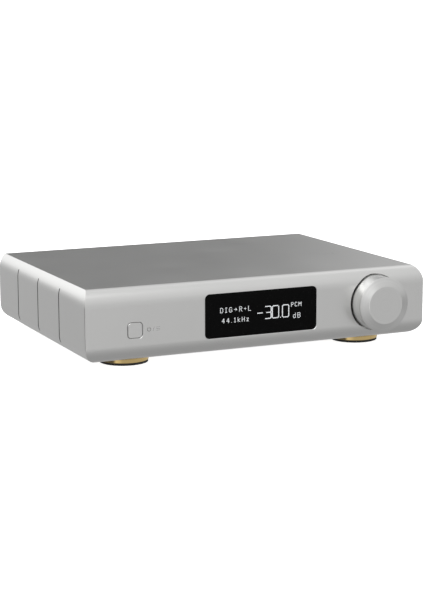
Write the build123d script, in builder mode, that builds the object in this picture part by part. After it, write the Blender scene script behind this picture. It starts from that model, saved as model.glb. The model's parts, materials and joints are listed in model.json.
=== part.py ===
from build123d import *
import os

os.makedirs("parts", exist_ok=True)

# Sizes are in millimetres. +X is to the right seen from the front, +Y to the back, +Z up.
# The origin is on the surface that the feet stand on, below the middle of the whole object.

# Case
body_width = 310
body_depth = 224.5
body_height = 59.3
side_inset = 5  # the flat top stops this far inside each side
side_radius = 20  # round of the shoulder along each side
front_inset = 12  # the flat top stops this far behind the front
front_radius = 14
bottom_radius = 13.5
corner_radius = 0.6  # upright front corners
panel_thickness = 20
panel_web = 11  # front panel behind its display and controls
side_wall = 9
top_shelf_width = 9
base_shelf_width = 13
shelf_thickness = 6
cover_thickness = 4
base_thickness = 3
rear_thickness = 4
seam = 0.1  # gap round each plate that drops into the case
groove_width = 1.6
groove_depth = 1.2
groove_first = 62.1  # first groove behind the front face
groove_pitch = 54.2
groove_count = 3
pocket_rise = 8  # solid rails above and below the pocket behind the front panel
bracket_size = 16
bracket_thickness = 4
bracket_width = 12
bracket_margin = 2
front_screw_setback = 14
rear_screw_setback = 22
cover_hole_depth = 2.6
cover_edge = 0.4

# Display
window_width = 102.3
window_height = 37
window_radius = 4
window_thickness = 2
window_recess = 0.8
window_gap = 0.15
rim_bevel = 0.4
control_rise = 1.65  # display and knob above the middle of the front
screen_width = 84
screen_height = 26
screen_border = 3
screen_gap = 0.4
screen_board_thickness = 1.6

# Volume knob and its rotary encoder
knob_x = 108.2
knob_diameter = 46.4
knob_face_diameter = 32
knob_proud = 17
knob_chamfer = 3.1
knob_edge = 0.4
knob_ring_gap = 1
knob_pocket_depth = 8
knob_back_gap = 1
knob_wall = 4
knob_cavity_depth = 7
knob_hub_diameter = 14
knob_hub_length = 3.6
knob_travel = 0.6  # press of the knob onto the encoder's switch
shaft_diameter = 6
shaft_fit = 0.05
shaft_in_knob = 10
shaft_flat = 1.5
set_screw_diameter = 3
set_screw_recess = 1
encoder_width = 14
encoder_depth = 6.5
encoder_cavity = 10
encoder_cavity_depth = 4.5
bushing_diameter = 7
bushing_length = 6
encoder_nut_width = 10
encoder_nut_thickness = 2
plunger_diameter = 9
plunger_thickness = 1.5

# Front button
button_x = -112.5
button_drop = 5.7  # below the display's middle
button_size = 12.4
button_radius = 2.8
button_gap = 0.3
button_travel = 0.5
flange_border = 1.6
flange_thickness = 1
button_edge = 0.4
stem_diameter = 3.4
post_length = 1.2
switch_size = 6.2
switch_height = 3.4
stem_length = 1.6

# Circuit boards
board_thickness = 1.6
front_board_width = 250
front_board_height = 30
spacer_diameter = 5
spacer_spread_x = 78
spacer_spread_z = 23
spacer_screw_bite = 4
main_board_width = 180
main_board_depth = 128
main_board_x = 40
power_board_width = 60
power_board_depth = 72
power_board_x = -99
power_board_y = 42
rear_clearance = 1.5
standoff_height = 8
standoff_diameter = 6
board_hole_inset = 5
chip_size = 10
chip_height = 1.6
chip_pitch = 24
chip_shift = (20, -28)  # from the middle of the main board
can_width = 44
can_depth = 34
can_height = 7
can_shift = (-50, -24)
main_cap_diameter = 10
main_cap_height = 16
main_cap_pitch = 16
main_cap_shift = (4, 16)
power_cap_diameter = 16
power_cap_height = 25
power_cap_pitch = 20.8
power_cap_shift = 12
heatsink_width = 40
heatsink_height = 30
heatsink_fin = 1.5
heatsink_fins = 5
heatsink_fin_length = 9
heatsink_margin = 2
ribbon_width = 24
ribbon_thickness = 0.8
ribbon_bend = 3
ribbon_reach = 12
ribbon_landing = 8

# Power transformer
toroid_diameter = 64
toroid_hole = 16
toroid_height = 36
toroid_edge = 8
toroid_y = -42
washer_diameter = 44
washer_thickness = 2
bolt_diameter = 6
bolt_head_diameter = 10
bolt_head_height = 4

# Screws
m3 = 3
m4 = 4
screw_fit = 0.1  # hole radius over screw radius
head_diameter = 5.5
head_height = 2
hex_key = 2.5
screw_bite = 8

# Feet
foot_height = 6.9
foot_x = 108
foot_setback = 37.7
foot_diameter = 43.2
foot_taper = 1
foot_edge = 0.5
pad_thickness = 2.9
pad_seat = 1
pad_rim = 0.5
foot_screw_well = 9
foot_head_diameter = 7
foot_screw_web = 2
foot_screw_bite = 3

# Rear sockets
socket_rise = 26  # middle of the panel sockets above the inside floor
phono_diameter = 8.3
phono_proud = 9.5
phono_bore = 3.3
phono_thread = 6.5
phono_inside = 12
phono_nut_diameter = 11
phono_nut_thickness = 3
phono_bottom = 1.5
bush_diameter = 13
bush_proud = 1.5
bush_spigot = 9
phono_places = {"rca_left": 62, "rca_right": 42, "coax_input": 14}
xlr_places = {"xlr_left": 122, "xlr_right": 91}
xlr_flange_width = 26
xlr_flange_height = 31
xlr_flange_radius = 3
flange_proud = 2
xlr_body = 23
xlr_bore = 19
xlr_cavity = 15
xlr_inside = 18
xlr_pin_diameter = 2.4
xlr_pin_length = 13
xlr_pin_circle = 4.9
flange_screw_spread_x = 19
flange_screw_spread_z = 24
inlet_x = -118
inlet_width = 28
inlet_height = 21
inlet_wall = 2
inlet_lip = 2
inlet_cavity = 17
inlet_floor = 5
inlet_bevel = 4
blade_width = 2
blade_height = 4
blade_length = 14
blade_spread = 7
blade_rise = 2
switch_x = -84
rocker_width = 10.4
rocker_height = 13.6
rocker_gap = 0.25
rocker_tilt = 8
rocker_proud = 2.6
rocker_waist = 1
rocker_depth = 5
rocker_axis_inset = 1
trunnion_diameter = 2.4
housing_wall = 1.6
housing_depth = 13
housing_cavity = 9
housing_lip = 1.6
usb_x = -34
usb_width = 12
usb_height = 11
usb_depth = 17
usb_proud = 0.6
usb_opening_width = 8.5
usb_opening_height = 7.8
usb_opening_depth = 9
usb_bevel = 1.8
tongue_width = 5.6
tongue_height = 3.2
optical_x = -10
optical_width = 14
optical_height = 12
optical_depth = 14
optical_proud = 0.6
door_width = 8
door_height = 8
door_thickness = 0.8
door_gap = 0.3
door_pin = 1.2
door_pin_reach = 1.1
door_setback = 1.4
optical_cavity_depth = 11
panel_hole_gap = 0.2

# Places worked out from the sizes above
half_width = body_width / 2
overall_depth = knob_proud + body_depth + phono_proud
front_y = knob_proud - overall_depth / 2
rear_y = front_y + body_depth
base_z = foot_height
top_z = base_z + body_height
floor_z = base_z + base_thickness
ceiling_z = top_z - cover_thickness
control_z = base_z + body_height / 2 + control_rise
button_z = control_z - button_drop
panel_back = front_y + panel_thickness
web_back = front_y + panel_web
pocket_floor = front_y + knob_pocket_depth
front_board_y = web_back + encoder_depth
rear_inside = rear_y - rear_thickness
inner_half = half_width - side_wall
socket_z = floor_z + socket_rise
board_z = floor_z + standoff_height
board_top = board_z + board_thickness
main_board_y = rear_inside - rear_clearance - main_board_depth / 2
side_shoulder = (side_radius**2 - (side_radius - side_inset) ** 2) ** 0.5
front_shoulder = (front_radius**2 - (front_radius - front_inset) ** 2) ** 0.5
board_corners = [
    (main_board_x, main_board_y, main_board_width, main_board_depth),
    (power_board_x, power_board_y, power_board_width, power_board_depth),
]
foot_y_places = {"front": front_y + foot_setback, "rear": rear_y - foot_setback}
foot_x_places = {"left": -foot_x, "right": foot_x}


def front_plane(y):
    # upright plane across the object, seen from the front: local x right, local y up
    return Plane(origin=(0, y, 0), x_dir=(1, 0, 0), z_dir=(0, -1, 0))


def rear_plane(y, x=0, z=0):
    # upright plane seen from behind, with its middle at x, z
    return Plane(origin=(x, y, z), x_dir=(-1, 0, 0), z_dir=(0, 1, 0))


def turning_plane(x, z):
    # plane through an axis along Y: local x is Y, local y is the radius
    return Plane(origin=(x, 0, z), x_dir=(0, 1, 0), z_dir=(1, 0, 0))


def turning_axis(x, z):
    return Axis((x, 0, z), (0, 1, 0))


def box_between(low, high, mode=Mode.ADD):
    # box from its lowest corner to its highest corner
    size = [b - a for a, b in zip(low, high)]
    with Locations(low):
        Box(*size, align=(Align.MIN, Align.MIN, Align.MIN), mode=mode)


def hole_places(x, y, width, depth):
    # four fixing points inside the corners of a circuit board
    return [
        (x + sx * (width / 2 - board_hole_inset), y + sy * (depth / 2 - board_hole_inset))
        for sx in (-1, 1)
        for sy in (-1, 1)
    ]


# Outside of the whole case: a section across the width meets a section from front to back
with BuildPart() as case:
    with BuildSketch(front_plane(front_y)):
        with BuildLine():
            top_end = (half_width - side_inset, top_z)
            shoulder_end = (half_width, top_z - side_shoulder)
            bottom_start = (half_width, base_z + bottom_radius)
            bottom_end = (half_width - bottom_radius, base_z)
            Line((0, top_z), top_end)
            TangentArc(shoulder_end, top_end, tangent=(0, 1))
            Line(shoulder_end, bottom_start)
            TangentArc(bottom_start, bottom_end, tangent=(0, -1))
            Line(bottom_end, (0, base_z))
            mirror(about=Plane.YZ)
        make_face()
    extrude(amount=-body_depth)
    with BuildSketch(Plane.YZ.offset(-half_width)):
        with BuildLine():
            top_start = (front_y + front_inset, top_z)
            front_top = (front_y, top_z - front_shoulder)
            front_bottom = (front_y, base_z + bottom_radius)
            under_start = (front_y + bottom_radius, base_z)
            TangentArc(front_top, top_start, tangent=(0, 1))
            Line(front_top, front_bottom)
            TangentArc(front_bottom, under_start, tangent=(0, -1))
            Polyline(under_start, (rear_y, base_z), (rear_y, top_z), top_start)
        make_face()
    extrude(amount=body_width, mode=Mode.INTERSECT)
    with BuildSketch(Plane.XY.offset(base_z)) as plan:
        with Locations((0, front_y)):
            Rectangle(body_width, body_depth, align=(Align.CENTER, Align.MIN))
        fillet(plan.vertices().group_by(Axis.Y)[0], radius=corner_radius)
    extrude(amount=body_height, mode=Mode.INTERSECT)

cover_half = half_width - side_inset
cover_front = front_y + front_inset
base_half = half_width - bottom_radius
base_front = front_y + bottom_radius


# Front panel, with the corners of the case
spacer_places = [
    (sx * spacer_spread_x, control_z + sz * spacer_spread_z / 2)
    for sx in (-1, 1)
    for sz in (-1, 1)
]
button_hole = button_size + 2 * button_gap
bracket_x = inner_half - bracket_size
pocket_half_width = bracket_x - bracket_margin
with BuildPart() as front_panel:
    add(case.part)
    box_between(
        (-half_width, front_y, base_z), (half_width, panel_back, top_z), mode=Mode.INTERSECT
    )
    box_between(
        (-cover_half, cover_front, ceiling_z), (cover_half, panel_back, top_z), mode=Mode.SUBTRACT
    )
    box_between(
        (-base_half, base_front, base_z), (base_half, panel_back, floor_z), mode=Mode.SUBTRACT
    )
    box_between(
        (-pocket_half_width, web_back, floor_z + pocket_rise),
        (pocket_half_width, panel_back, ceiling_z - pocket_rise),
        mode=Mode.SUBTRACT,
    )
    with BuildSketch(front_plane(front_y)) as window_seat:
        with Locations((0, control_z)):
            RectangleRounded(window_width, window_height, window_radius)
    extrude(amount=-(window_recess + window_thickness), mode=Mode.SUBTRACT)
    with BuildSketch(front_plane(front_y)):
        with Locations((0, control_z)):
            Rectangle(screen_width + 2 * screen_gap, screen_height + 2 * screen_gap)
    extrude(amount=-panel_web, mode=Mode.SUBTRACT)
    with BuildSketch(front_plane(front_y)):
        with Locations((knob_x, control_z)):
            Circle(knob_diameter / 2 + knob_ring_gap)
    extrude(amount=-knob_pocket_depth, mode=Mode.SUBTRACT)
    with BuildSketch(front_plane(front_y)):
        with Locations((knob_x, control_z)):
            Circle(bushing_diameter / 2 + screw_fit)
        with Locations((button_x, button_z)):
            RectangleRounded(button_hole, button_hole, button_radius + button_gap)
    extrude(amount=-panel_web, mode=Mode.SUBTRACT)
    with BuildSketch(front_plane(web_back)):
        with Locations(*spacer_places):
            Circle(m3 / 2 + screw_fit)
    extrude(amount=spacer_screw_bite, mode=Mode.SUBTRACT)
    with BuildSketch(front_plane(front_y)):
        with Locations((0, control_z)):
            rim_width = window_width + 2 * rim_bevel
            rim_height = window_height + 2 * rim_bevel
            RectangleRounded(rim_width, rim_height, window_radius + rim_bevel)
        with Locations((knob_x, control_z)):
            Circle(knob_diameter / 2 + knob_ring_gap + rim_bevel)
        with Locations((button_x, button_z)):
            rim_size = button_hole + 2 * rim_bevel
            RectangleRounded(rim_size, rim_size, button_radius + button_gap + rim_bevel)
    extrude(amount=-rim_bevel, taper=45, mode=Mode.SUBTRACT)
front_panel.part.label = "front_panel"
export_step(front_panel.part, "parts/front_panel.step")


# Sides: extruded walls with a shelf under the cover and one over the base
groove_places = [front_y + groove_first + groove_pitch * i for i in range(groove_count)]
top_shelf_x = half_width - side_wall - top_shelf_width / 2
base_screw_x = (base_half + half_width - side_wall - base_shelf_width) / 2
screw_ys = [
    panel_back + front_screw_setback,
    (panel_back + rear_inside) / 2,
    rear_inside - rear_screw_setback,
]
rear_screw_places = [
    (sx * top_shelf_x, z)
    for sx in (-1, 1)
    for z in (floor_z + shelf_thickness / 2, ceiling_z - shelf_thickness / 2)
]


def make_side(hand):
    with BuildPart() as side:
        add(case.part)
        outer = hand * half_width
        shelf_end = hand * (half_width - side_wall - base_shelf_width)
        box_between(
            (min(outer, shelf_end), panel_back, base_z),
            (max(outer, shelf_end), rear_y, top_z),
            mode=Mode.INTERSECT,
        )
        for edge, low, high in (
            (cover_half, ceiling_z, top_z),
            (base_half, base_z, floor_z),
            (inner_half, floor_z + shelf_thickness, ceiling_z - shelf_thickness),
            (inner_half - top_shelf_width, ceiling_z - shelf_thickness, ceiling_z),
        ):
            box_between(
                (min(0, hand * edge), panel_back, low),
                (max(0, hand * edge), rear_y, high),
                mode=Mode.SUBTRACT,
            )
        box_between(
            (min(0, hand * inner_half), rear_inside, floor_z),
            (max(0, hand * inner_half), rear_y, ceiling_z),
            mode=Mode.SUBTRACT,
        )
        for y in groove_places:
            box_between(
                (min(outer, outer - hand * groove_depth), y - groove_width / 2, base_z),
                (max(outer, outer - hand * groove_depth), y + groove_width / 2, top_z),
                mode=Mode.SUBTRACT,
            )
        top_holes = [(hand * top_shelf_x, y, ceiling_z - shelf_thickness / 2) for y in screw_ys]
        base_holes = [(hand * base_screw_x, y, floor_z + shelf_thickness / 2) for y in screw_ys]
        with Locations(*top_holes, *base_holes):
            Cylinder(m3 / 2 + screw_fit, shelf_thickness, mode=Mode.SUBTRACT)
        with BuildSketch(front_plane(rear_inside)):
            with Locations(*[place for place in rear_screw_places if place[0] * hand > 0]):
                Circle(m3 / 2 + screw_fit)
        extrude(amount=screw_bite, mode=Mode.SUBTRACT)
    return side


left_side = make_side(-1)
left_side.part.label = "left_side"
export_step(left_side.part, "parts/left_side.step")
right_side = make_side(1)
right_side.part.label = "right_side"
export_step(right_side.part, "parts/right_side.step")


# Top cover, held from inside by screws into blind holes
cover_screw_places = [(sx * top_shelf_x, y) for sx in (-1, 1) for y in screw_ys]
with BuildPart() as top_cover:
    box_between(
        (-cover_half + seam, cover_front + seam, ceiling_z), (cover_half - seam, rear_y, top_z)
    )
    chamfer(top_cover.faces().sort_by(Axis.Z)[-1].edges(), length=cover_edge)
    with Locations(*[(x, y, ceiling_z + cover_hole_depth / 2) for x, y in cover_screw_places]):
        Cylinder(m3 / 2 + screw_fit, cover_hole_depth, mode=Mode.SUBTRACT)
top_cover.part.label = "top_cover"
export_step(top_cover.part, "parts/top_cover.step")


# Base plate
base_screw_places = [(sx * base_screw_x, y) for sx in (-1, 1) for y in screw_ys]
foot_places = [(x, y) for x in foot_x_places.values() for y in foot_y_places.values()]
standoff_places = [place for corners in board_corners for place in hole_places(*corners)]
countersink_depth = (head_diameter - m3) / 2
with BuildPart() as base_plate:
    box_between(
        (-base_half + seam, base_front + seam, base_z), (base_half - seam, rear_y, floor_z)
    )
    small_holes = base_screw_places + standoff_places
    with Locations(*[(x, y, base_z + base_thickness / 2) for x, y in small_holes]):
        Cylinder(m3 / 2 + screw_fit, base_thickness, mode=Mode.SUBTRACT)
    with Locations(*[(x, y, base_z + countersink_depth / 2) for x, y in base_screw_places]):
        Cone(
            head_diameter / 2 + screw_fit, m3 / 2 + screw_fit, countersink_depth, mode=Mode.SUBTRACT
        )
    with Locations(*[(x, y, base_z + base_thickness / 2) for x, y in foot_places]):
        Cylinder(m4 / 2 + screw_fit, base_thickness, mode=Mode.SUBTRACT)
    with Locations((power_board_x, toroid_y, base_z + base_thickness / 2)):
        Cylinder(bolt_diameter / 2 + screw_fit, base_thickness, mode=Mode.SUBTRACT)
base_plate.part.label = "base_plate"
export_step(base_plate.part, "parts/base_plate.step")


# Rear panel, set in between the sides
small_sockets = {
    "usb": (usb_x, board_top + usb_height / 2, usb_width, usb_height),
    "optical": (optical_x, board_top + optical_height / 2, optical_width, optical_height),
    "inlet": (inlet_x, socket_z, inlet_width, inlet_height),
    "switch": (
        switch_x,
        socket_z,
        rocker_width + 2 * (rocker_gap + housing_wall),
        rocker_height + 2 * (rocker_gap + housing_wall),
    ),
}
flange_screw_places = [
    (x + sign * flange_screw_spread_x / 2, socket_z + sign * flange_screw_spread_z / 2)
    for x in xlr_places.values()
    for sign in (-1, 1)
]
with BuildPart() as rear_panel:
    box_between(
        (-inner_half + seam, rear_inside, floor_z + seam),
        (inner_half - seam, rear_y, ceiling_z - seam),
    )
    with BuildSketch(rear_plane(rear_y)):
        for x, z, width, height in small_sockets.values():
            with Locations((-x, z)):
                Rectangle(width + 2 * panel_hole_gap, height + 2 * panel_hole_gap)
        for x in xlr_places.values():
            with Locations((-x, socket_z)):
                Circle(xlr_body / 2 + panel_hole_gap)
        for x in phono_places.values():
            with Locations((-x, socket_z)):
                Circle(bush_spigot / 2 + panel_hole_gap)
        for x, z in rear_screw_places + flange_screw_places:
            with Locations((-x, z)):
                Circle(m3 / 2 + screw_fit)
    extrude(amount=-rear_thickness, mode=Mode.SUBTRACT)
rear_panel.part.label = "rear_panel"
export_step(rear_panel.part, "parts/rear_panel.step")


# Angle brackets that join the front panel to the sides
with BuildPart() as front_brackets:
    bracket_low = control_z - bracket_width / 2
    for hand in (-1, 1):
        wall = hand * inner_half
        reach = hand * bracket_x
        box_between(
            (min(wall, reach), panel_back, bracket_low),
            (max(wall, reach), panel_back + bracket_thickness, bracket_low + bracket_width),
        )
        box_between(
            (min(wall, wall - hand * bracket_thickness), panel_back, bracket_low),
            (
                max(wall, wall - hand * bracket_thickness),
                panel_back + bracket_size,
                bracket_low + bracket_width,
            ),
        )
front_brackets.part.label = "front_brackets"
export_step(front_brackets.part, "parts/front_brackets.step")


# Display: dark glass in the front panel, screen module behind it
window_front = front_y + window_recess
with BuildPart() as display_window:
    with BuildSketch(front_plane(window_front)):
        with Locations((0, control_z)):
            RectangleRounded(
                window_width - 2 * window_gap,
                window_height - 2 * window_gap,
                window_radius - window_gap,
            )
    extrude(amount=-window_thickness)
display_window.part.label = "display_window"
export_step(display_window.part, "parts/display_window.step")

with BuildPart() as display_module:
    with BuildSketch(front_plane(window_front + window_thickness)):
        with Locations((0, control_z)):
            Rectangle(screen_width, screen_height)
    extrude(amount=-(web_back - window_front - window_thickness))
    with BuildSketch(front_plane(web_back)):
        with Locations((0, control_z)):
            Rectangle(screen_width + 2 * screen_border, screen_height + 2 * screen_border)
    extrude(amount=-screen_board_thickness)
display_module.part.label = "display_module"
export_step(display_module.part, "parts/display_module.step")


# Front circuit board on its spacers, which carries the encoder and the switch
with BuildPart() as front_board:
    with BuildSketch(front_plane(front_board_y)):
        with Locations((0, control_z)):
            Rectangle(front_board_width, front_board_height)
        with Locations(*spacer_places):
            Circle(m3 / 2 + screw_fit, mode=Mode.SUBTRACT)
    extrude(amount=-board_thickness)
front_board.part.label = "front_board"
export_step(front_board.part, "parts/front_board.step")

with BuildPart() as front_spacers:
    with BuildSketch(front_plane(front_board_y)):
        with Locations(*spacer_places):
            Circle(spacer_diameter / 2)
            Circle(m3 / 2 + screw_fit, mode=Mode.SUBTRACT)
    extrude(amount=encoder_depth)
front_spacers.part.label = "front_spacers"
export_step(front_spacers.part, "parts/front_spacers.step")


# Front button: a cap behind the panel's hole, with a flange that keeps it in
flange_y = web_back + button_gap
with BuildPart() as front_button:
    with BuildSketch(front_plane(front_y)):
        with Locations((button_x, button_z)):
            RectangleRounded(button_size, button_size, button_radius)
    extrude(amount=-(flange_y - front_y))
    chamfer(front_button.faces().sort_by(Axis.Y)[0].edges(), length=button_edge)
    with BuildSketch(front_plane(flange_y)):
        with Locations((button_x, button_z)):
            Rectangle(button_size + 2 * flange_border, button_size + 2 * flange_border)
    extrude(amount=-flange_thickness)
    with BuildSketch(front_plane(flange_y + flange_thickness)):
        with Locations((button_x, button_z)):
            Circle(stem_diameter / 2)
    extrude(amount=-post_length)
front_button.part.label = "front_button"
export_step(front_button.part, "parts/front_button.step")

stem_y = flange_y + flange_thickness + post_length
with BuildPart() as switch_stem:
    with BuildSketch(front_plane(stem_y)):
        with Locations((button_x, button_z)):
            Circle(stem_diameter / 2)
    extrude(amount=-stem_length)
switch_stem.part.label = "switch_stem"
export_step(switch_stem.part, "parts/switch_stem.step")

stem_well = stem_y + stem_length + button_travel + button_gap
with BuildPart() as tact_switch:
    with BuildSketch(front_plane(front_board_y)):
        with Locations((button_x, button_z)):
            Rectangle(switch_size, switch_size)
    extrude(amount=switch_height)
    with BuildSketch(front_plane(stem_well)):
        with Locations((button_x, button_z)):
            Circle(stem_diameter / 2 + screw_fit)
    extrude(amount=switch_height, mode=Mode.SUBTRACT)
tact_switch.part.label = "tact_switch"
export_step(tact_switch.part, "parts/tact_switch.step")


# Volume knob: turned from bar, hollow behind, with a hub for the shaft
knob_face = front_y - knob_proud
knob_back = pocket_floor - knob_back_gap
cavity_end = knob_back - knob_cavity_depth
hub_end = cavity_end + knob_hub_length
shaft_front = cavity_end - shaft_in_knob
knob_plane = turning_plane(knob_x, control_z)
knob_axis = turning_axis(knob_x, control_z)
set_screw_y = cavity_end - shaft_in_knob / 2
with BuildPart() as volume_knob:
    with BuildSketch(knob_plane):
        with BuildLine():
            Polyline(
                (knob_face, 0),
                (knob_face, knob_face_diameter / 2),
                (knob_face + knob_chamfer, knob_diameter / 2),
                (knob_back - knob_edge, knob_diameter / 2),
                (knob_back, knob_diameter / 2 - knob_edge),
                (knob_back, knob_diameter / 2 - knob_wall),
                (cavity_end, knob_diameter / 2 - knob_wall),
                (cavity_end, knob_hub_diameter / 2),
                (hub_end, knob_hub_diameter / 2),
                (hub_end, shaft_diameter / 2 + shaft_fit),
                (shaft_front - shaft_fit, shaft_diameter / 2 + shaft_fit),
                (shaft_front - shaft_fit, 0),
                close=True,
            )
        make_face()
    revolve(axis=knob_axis)
    with BuildSketch(Plane.XY.offset(control_z)):
        with Locations((knob_x, set_screw_y)):
            Circle(set_screw_diameter / 2 + shaft_fit)
    extrude(amount=-knob_diameter / 2, mode=Mode.SUBTRACT)
volume_knob.part.label = "volume_knob"
export_step(volume_knob.part, "parts/volume_knob.step")

# D-shaped shaft, flat on the side of the set screw
plunger_y = web_back + (encoder_depth - encoder_cavity_depth) / 2 + encoder_cavity_depth
plunger_y -= knob_travel + button_gap + plunger_thickness
flat_z = control_z - shaft_diameter / 2 + shaft_flat
with BuildPart() as encoder_shaft:
    with BuildSketch(front_plane(plunger_y)):
        with Locations((knob_x, control_z)):
            Circle(shaft_diameter / 2)
    extrude(amount=plunger_y - shaft_front)
    box_between(
        (knob_x - shaft_diameter, shaft_front, control_z - shaft_diameter),
        (knob_x + shaft_diameter, hub_end, flat_z),
        mode=Mode.SUBTRACT,
    )
encoder_shaft.part.label = "encoder_shaft"
export_step(encoder_shaft.part, "parts/encoder_shaft.step")

with BuildPart() as knob_set_screw:
    with BuildSketch(Plane.XY.offset(flat_z)):
        with Locations((knob_x, set_screw_y)):
            Circle(set_screw_diameter / 2)
    extrude(amount=-(knob_diameter / 2 - set_screw_recess - (control_z - flat_z)))
    with BuildSketch(Plane.XY.offset(control_z - knob_diameter / 2 + set_screw_recess)):
        with Locations((knob_x, set_screw_y)):
            RegularPolygon(set_screw_diameter / 4, 6)
    extrude(amount=set_screw_diameter / 2, mode=Mode.SUBTRACT)
knob_set_screw.part.label = "knob_set_screw"
export_step(knob_set_screw.part, "parts/knob_set_screw.step")

# Plunger that the shaft presses onto the encoder's own switch
with BuildPart() as encoder_plunger:
    with BuildSketch(front_plane(plunger_y)):
        with Locations((knob_x, control_z)):
            Circle(plunger_diameter / 2)
    extrude(amount=-plunger_thickness)
encoder_plunger.part.label = "encoder_plunger"
export_step(encoder_plunger.part, "parts/encoder_plunger.step")

cavity_start = web_back + (encoder_depth - encoder_cavity_depth) / 2
with BuildPart() as encoder_body:
    with BuildSketch(front_plane(front_board_y)):
        with Locations((knob_x, control_z)):
            Rectangle(encoder_width, encoder_width)
    extrude(amount=encoder_depth)
    with BuildSketch(front_plane(web_back)):
        with Locations((knob_x, control_z)):
            Circle(bushing_diameter / 2)
    extrude(amount=bushing_length)
    with BuildSketch(front_plane(cavity_start + encoder_cavity_depth)):
        with Locations((knob_x, control_z)):
            Circle(encoder_cavity / 2)
    extrude(amount=encoder_cavity_depth, mode=Mode.SUBTRACT)
    with BuildSketch(front_plane(cavity_start)):
        with Locations((knob_x, control_z)):
            Circle(shaft_diameter / 2 + shaft_fit)
    extrude(amount=bushing_length + encoder_depth, mode=Mode.SUBTRACT)
encoder_body.part.label = "encoder_body"
export_step(encoder_body.part, "parts/encoder_body.step")

with BuildPart() as encoder_nut:
    with BuildSketch(front_plane(pocket_floor)):
        with Locations((knob_x, control_z)):
            RegularPolygon(encoder_nut_width / 2, 6, major_radius=False)
            Circle(bushing_diameter / 2 + shaft_fit, mode=Mode.SUBTRACT)
    extrude(amount=encoder_nut_thickness)
encoder_nut.part.label = "encoder_nut"
export_step(encoder_nut.part, "parts/encoder_nut.step")


# Main and power boards on standoffs
def make_board(x, y, width, depth):
    with BuildPart() as board:
        with BuildSketch(Plane.XY.offset(board_z)):
            with Locations((x, y)):
                Rectangle(width, depth)
            with Locations(*hole_places(x, y, width, depth)):
                Circle(m3 / 2 + screw_fit, mode=Mode.SUBTRACT)
        extrude(amount=board_thickness)
    return board


main_board = make_board(*board_corners[0])
main_board.part.label = "main_board"
export_step(main_board.part, "parts/main_board.step")
power_board = make_board(*board_corners[1])
power_board.part.label = "power_board"
export_step(power_board.part, "parts/power_board.step")

with BuildPart() as board_standoffs:
    with BuildSketch(Plane.XY.offset(floor_z)):
        with Locations(*standoff_places):
            Circle(standoff_diameter / 2)
            Circle(m3 / 2 + screw_fit, mode=Mode.SUBTRACT)
    extrude(amount=standoff_height)
board_standoffs.part.label = "board_standoffs"
export_step(board_standoffs.part, "parts/board_standoffs.step")

with BuildPart() as board_screws:
    with BuildSketch(Plane.XY.offset(board_top)):
        with Locations(*standoff_places):
            Circle(head_diameter / 2)
    extrude(amount=head_height)
    with BuildSketch(Plane.XY.offset(board_top)):
        with Locations(*standoff_places):
            Circle(m3 / 2)
    extrude(amount=-screw_bite)
    with BuildSketch(front_plane(front_board_y + board_thickness)):
        with Locations(*spacer_places):
            Circle(head_diameter / 2)
    extrude(amount=-head_height)
    with BuildSketch(front_plane(front_board_y + board_thickness)):
        with Locations(*spacer_places):
            Circle(m3 / 2)
    extrude(amount=board_thickness + encoder_depth + spacer_screw_bite - seam)
board_screws.part.label = "board_screws"
export_step(board_screws.part, "parts/board_screws.step")



def board_place(shift, height):
    # middle of a component that stands on the main board
    return (main_board_x + shift[0], main_board_y + shift[1], board_top + height / 2)


with BuildPart() as dac_chips:
    with Locations(board_place(chip_shift, chip_height)):
        with GridLocations(chip_pitch, chip_pitch, 3, 2):
            Box(chip_size, chip_size, chip_height)
dac_chips.part.label = "dac_chips"
export_step(dac_chips.part, "parts/dac_chips.step")

with BuildPart() as shield_can:
    with Locations(board_place(can_shift, can_height)):
        Box(can_width, can_depth, can_height)
shield_can.part.label = "shield_can"
export_step(shield_can.part, "parts/shield_can.step")

with BuildPart() as main_capacitors:
    with Locations(board_place(main_cap_shift, main_cap_height)):
        with GridLocations(main_cap_pitch, main_cap_pitch, 6, 2):
            Cylinder(main_cap_diameter / 2, main_cap_height)
main_capacitors.part.label = "main_capacitors"
export_step(main_capacitors.part, "parts/main_capacitors.step")

with BuildPart() as power_capacitors:
    power_cap_y = power_board_y + power_cap_shift
    with Locations((power_board_x, power_cap_y, board_top + power_cap_height / 2)):
        with GridLocations(power_cap_pitch, power_cap_pitch, 2, 2):
            Cylinder(power_cap_diameter / 2, power_cap_height)
power_capacitors.part.label = "power_capacitors"
export_step(power_capacitors.part, "parts/power_capacitors.step")

with BuildPart() as regulator_heatsink:
    fin_front = power_board_y - power_board_depth / 2 + heatsink_margin
    fin_back = fin_front + heatsink_fin_length
    fin_pitch = (heatsink_width - heatsink_fin) / (heatsink_fins - 1)
    heatsink_middle = board_top + heatsink_height / 2
    with Locations((power_board_x, fin_back, heatsink_middle)):
        Box(heatsink_width, heatsink_fin, heatsink_height)
    with Locations((power_board_x, (fin_front + fin_back) / 2, heatsink_middle)):
        with GridLocations(fin_pitch, 1, heatsink_fins, 1):
            Box(heatsink_fin, heatsink_fin_length, heatsink_height)
regulator_heatsink.part.label = "regulator_heatsink"
export_step(regulator_heatsink.part, "parts/regulator_heatsink.step")

# Flat ribbon lead from the front board down to the main board
ribbon_start = front_board_y + board_thickness
ribbon_end = main_board_y - main_board_depth / 2 + ribbon_landing
with BuildPart() as ribbon_cable:
    with BuildLine(Plane.YZ.offset(main_board_x)) as ribbon_path:
        FilletPolyline(
            (ribbon_start, control_z),
            (ribbon_start + ribbon_reach, control_z),
            (ribbon_end, board_top + ribbon_landing),
            (ribbon_end, board_top),
            radius=ribbon_bend,
        )
    with BuildSketch(Plane(ribbon_path.line @ 0, x_dir=(1, 0, 0), z_dir=ribbon_path.line % 0)):
        Rectangle(ribbon_width, ribbon_thickness)
    sweep()
ribbon_cable.part.label = "ribbon_cable"
export_step(ribbon_cable.part, "parts/ribbon_cable.step")


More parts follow.
